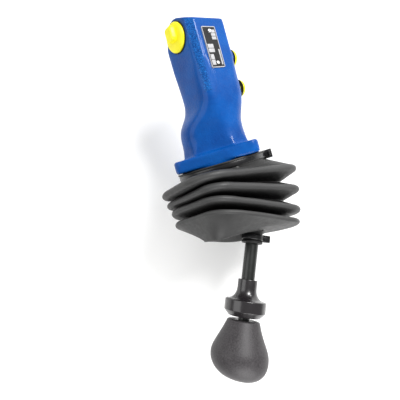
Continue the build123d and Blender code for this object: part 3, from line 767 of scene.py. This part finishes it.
boot_vertices = [p + swell(p) for ring in boot_rings for p in ring]
boot_faces = skin_faces(len(boot_rings), BOOT_COUNT)
boot_skin = mesh_piece("folded_boot", boot_vertices, boot_faces, boot_rubber, None)
fold_attribute = boot_skin.data.attributes.new("fold", "FLOAT", "POINT")
fold_attribute.data.foreach_set("value", [depth for depth in painted_fold_shade for k in range(BOOT_COUNT)])
thick = boot_skin.modifiers.new("thickness", "SOLIDIFY")
thick.thickness = BOOT_WALL * MM
thick.offset = -1
bpy.context.view_layer.objects.active = boot_skin
boot_skin.select_set(True)
bpy.ops.object.modifier_apply(modifier="thickness")
boot_skin.data.shade_smooth()
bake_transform(boot_skin)
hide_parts("boot")


# ---------------------------------------------------------------- cable ties
# Section of a tie's band, as shares of its thickness and width
BAND_SECTION = ((0.0, -0.5), (0.75, -0.5), (1.0, -0.36), (1.0, 0.36), (0.75, 0.5), (0.0, 0.5))
BAND_COUNT = 96
TIE_FIT = 0.05
BLOCK_CORNERS = [(x, y, z) for z in (-1, 1) for x, y in ((-1, -1), (1, -1), (1, 1), (-1, 1))]
BLOCK_FACES = ((0, 1, 2, 3), (4, 5, 6, 7), (0, 1, 5, 4), (1, 2, 6, 5), (2, 3, 7, 6), (3, 0, 4, 7))


def cable_tie(name, node, body, centre, across, deep, radius, width, head_angle, head, tail_side):
    """Band round centre in the plane across-deep, with a square head and a cut tail on one side of it."""
    up = across.cross(deep)
    thickness = width * 0.28
    vertices = []
    for k in range(BAND_COUNT):
        a = 2 * math.pi * k / BAND_COUNT
        out = across * math.cos(a) + deep * math.sin(a)
        for thick, wide in BAND_SECTION:
            vertices.append(centre + out * (radius + thickness * thick) + up * (width * wide))
    faces = skin_faces(BAND_COUNT, len(BAND_SECTION), closed=True)
    out = across * math.cos(head_angle) + deep * math.sin(head_angle)
    along = up.cross(out)
    depth, length, _ = head
    tail = (thickness, length * 0.62, width * 0.9)
    head_middle = centre + out * (radius + depth / 2 + 0.15)
    tail_middle = centre + out * (radius + depth * 0.62) + along * (length * 0.78 * tail_side)
    for middle, size in ((head_middle, head), (tail_middle, tail)):
        start = len(vertices)
        for x, y, z in BLOCK_CORNERS:
            corner = out * (x * size[0] / 2) + along * (y * size[1] / 2) + up * (z * size[2] / 2)
            vertices.append(middle + corner)
        faces += [tuple(start + i for i in quad) for quad in BLOCK_FACES]
    tie = mesh_piece(name, vertices, faces, tie_nylon, body, (node,))
    bevel(tie, 0.45, 35)


across, deep, _, centre = leaning(1.0, 2.0, (0, 0, 13.2))
cable_tie(
    "neck_tie", "boot_neck_tie", "housing", centre, across, deep, radius=NECK_RADIUS + TIE_FIT, width=4.4,
    head_angle=math.radians(222), head=(6.2, 7.2, 6.6), tail_side=1,
)
cable_tie(
    "collar_tie", "boot_collar_tie", "lever", BEND + ALONG * 6.8, ACROSS, SIDEWAYS,
    radius=COLLAR_RADIUS + TIE_FIT, width=4.6,
    head_angle=math.radians(207), head=(6.4, 5.6, 5.6), tail_side=-1,
)

# ---------------------------------------------------------------- casting
# Millimetres. The shoulder is the bulge of the +X side between neck and flange.
VOXEL = 0.8
OPEN_SKY = 0.6  # how far off the skin the test for an outside point starts
NECK_ROUNDS = 100
ALL_ROUNDS = 6
SOFTEN_STEP = 0.6
NECK_TOP = (-3.0, 7.0)  # height where the softening starts, and how far below it is whole
NECK_FOOT = (-62.0, 16.0)  # height where it ends, and how far above it is whole
SHOULDER_SWELL = 2.4
SHOULDER_HEIGHT = -21.0
SHOULDER_SPREAD = 6.5


def vertex_values(mesh, name):
    values = np.empty(len(mesh.vertices) * 3)
    mesh.vertices.foreach_get(name, values)
    return values.reshape(-1, 3)


def cast_copy(name, node, material, body):
    """Copy of a CAD node with the rounded edges of a sand casting, softest on the neck."""
    piece = nodes[node].copy()
    piece.data = nodes[node].data.copy()
    piece.name = name
    piece.parent = None
    piece.matrix_world = nodes[node].matrix_world.copy()
    piece.modifiers.clear()
    scene.collection.objects.link(piece)
    remesh = piece.modifiers.new("remesh", "REMESH")
    remesh.mode = "VOXEL"
    remesh.voxel_size = VOXEL * MM
    bpy.context.view_layer.update()
    shell = bpy.data.meshes.new_from_object(piece.evaluated_get(bpy.context.evaluated_depsgraph_get()))
    piece.modifiers.clear()
    piece.data = shell
    shell.name = name
    count = len(shell.vertices)
    places = vertex_values(shell, "co")
    normals = vertex_values(shell, "normal")
    edges = np.empty(len(shell.edges) * 2, dtype=np.int64)
    shell.edges.foreach_get("vertices", edges)
    first, second = edges.reshape(-1, 2).T
    ends = np.concatenate([first, second])
    others = np.concatenate([second, first])
    degree = np.bincount(ends, minlength=count).clip(min=1)
    tree = BVHTree.FromPolygons([v.co for v in shell.vertices], [p.vertices for p in shell.polygons])
    outer = np.zeros(count)  # 1 where nothing stands over the skin, so bores and faces that mate stay
    for i in range(count):
        out = Vector(normals[i])
        if tree.ray_cast(Vector(places[i]) + out * (OPEN_SKY * MM), out)[0] is None:
            outer[i] = 1.0
    z = places[:, 2] / MM
    neck = np.clip((NECK_TOP[0] - z) / NECK_TOP[1], 0, 1) * np.clip((z - NECK_FOOT[0]) / NECK_FOOT[1], 0, 1)

    def soften(places, weight, rounds):
        """Each point moves towards the mean of its neighbours, by its weight, once a round."""
        for _ in range(rounds):
            totals = [np.bincount(ends, places[others, axis], count) for axis in range(3)]
            mean = np.stack(totals, axis=1) / degree[:, None]
            places = places + (mean - places) * (weight * SOFTEN_STEP)[:, None]
        return places

    shoulder = np.exp(-(((z - SHOULDER_HEIGHT) / SHOULDER_SPREAD) ** 2))
    proud = shoulder * np.clip(normals[:, 0], 0, 1) * outer
    places = places + normals * (proud * SHOULDER_SWELL * MM)[:, None]
    places = soften(places, outer * neck, NECK_ROUNDS)
    places = soften(places, outer, ALL_ROUNDS)
    shell.vertices.foreach_set("co", places.ravel())
    shell.materials.clear()
    shell.materials.append(material)
    shell.shade_smooth()
    shell.update()
    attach(piece, body)
    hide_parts(node)


cast_copy("cast_housing", "housing", paint, "housing")

# ---------------------------------------------------------------- floor
FLOOR_HALF = 1.5
FLOOR_BEHIND = 0.062

floor_data = bpy.data.meshes.new("floor")
floor_corners = [(x * FLOOR_HALF, y * FLOOR_HALF, 0) for x, y in ((-1, -1), (1, -1), (1, 1), (-1, 1))]
floor_data.from_pydata(floor_corners, [], [(0, 1, 2, 3)])
floor = bpy.data.objects.new("floor", floor_data)
scene.collection.objects.link(floor)
floor.matrix_world = facing(CAMERA_FORWARD * FLOOR_BEHIND, CAMERA_RIGHT, CAMERA_UP, -CAMERA_FORWARD)
backing = bpy.data.materials.new("floor_paper")
backing.use_nodes = True
paper = backing.node_tree.nodes["Principled BSDF"]
paper.inputs["Base Color"].default_value = (0.84, 0.84, 0.835, 1)
paper.inputs["Roughness"].default_value = 0.62
paper.inputs["Emission Color"].default_value = (1.0, 1.0, 0.99, 1)
paper.inputs["Emission Strength"].default_value = 0.14
# The floor stands upright behind the object, so it is clear when seen from its back
clear = backing.node_tree.nodes.new("ShaderNodeBsdfTransparent")
one_way = backing.node_tree.nodes.new("ShaderNodeMixShader")
side = backing.node_tree.nodes.new("ShaderNodeNewGeometry")
output = backing.node_tree.nodes["Material Output"]
for source, target in (
    (side.outputs["Backfacing"], one_way.inputs[0]),
    (paper.outputs[0], one_way.inputs[1]),
    (clear.outputs[0], one_way.inputs[2]),
    (one_way.outputs[0], output.inputs["Surface"]),
):
    backing.node_tree.links.new(source, target)
floor_data.materials.append(backing)
